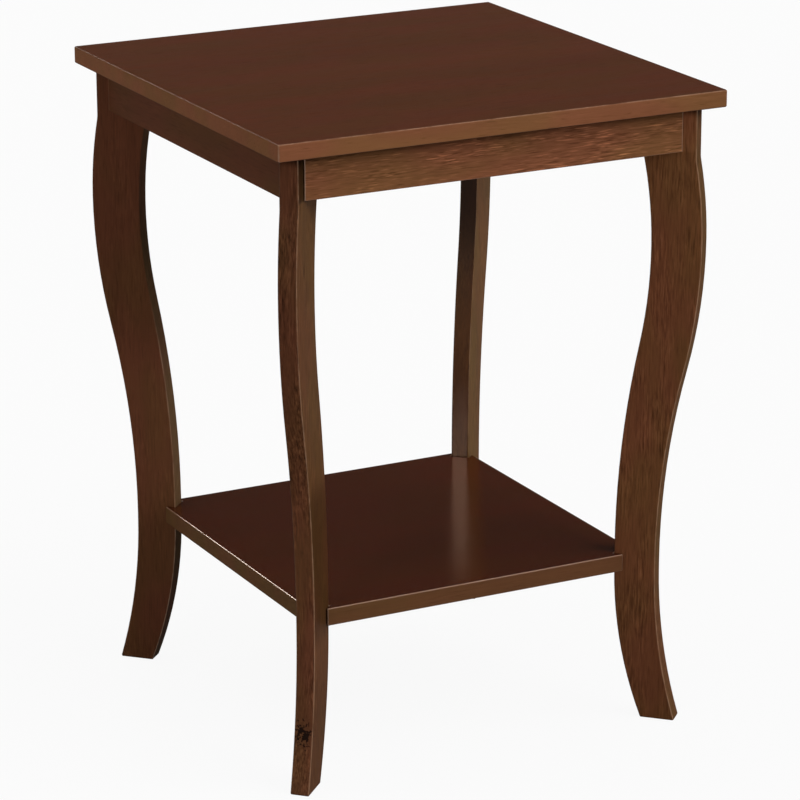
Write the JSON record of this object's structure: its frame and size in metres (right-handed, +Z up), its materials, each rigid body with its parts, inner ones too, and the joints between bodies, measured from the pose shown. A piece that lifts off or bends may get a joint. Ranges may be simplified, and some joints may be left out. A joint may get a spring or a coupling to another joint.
{
  "type": "end table",
  "caption": "Square end table with S-curved legs on the diagonals, plain aprons under the top and a lower shelf slotted round the legs.",
  "frame": {"origin": "on the floor, below the middle of the top", "axes": "+Z up, front facing -Y, +X to the right of someone looking at the front"},
  "size_m": [0.45, 0.45, 0.615],
  "materials": {
    "stained_wood": "dark brown stain under satin lacquer, grain showing",
    "block_wood": "the same stain, thin and without lacquer, sawn faces",
    "dowel_wood": "plain beech, unfinished",
    "black_steel": "black oxide",
    "zinc_steel": "bright zinc plating",
    "cast_zinc": "as cast, satin"
  },
  "bodies": {
    "root": {"top_panel": "stained_wood", "shelf": "stained_wood", "apron_front": "stained_wood", "apron_right": "stained_wood", "apron_back": "stained_wood", "apron_left": "stained_wood", "leg_front_left": "stained_wood", "leg_front_right": "stained_wood", "leg_back_left": "stained_wood", "leg_back_right": "stained_wood", "corner_block_front_left": "block_wood", "corner_block_front_right": "block_wood", "corner_block_back_left": "block_wood", "corner_block_back_right": "block_wood", "leg_bolts": "black_steel", "spring_washers": "zinc_steel", "flat_washers": "zinc_steel", "threaded_inserts": "zinc_steel", "block_screws": "zinc_steel", "top_screws": "zinc_steel", "top_dowels": "dowel_wood", "cam_bolts": "zinc_steel", "cam_locks": "cast_zinc"}
  },
  "joints": []
}
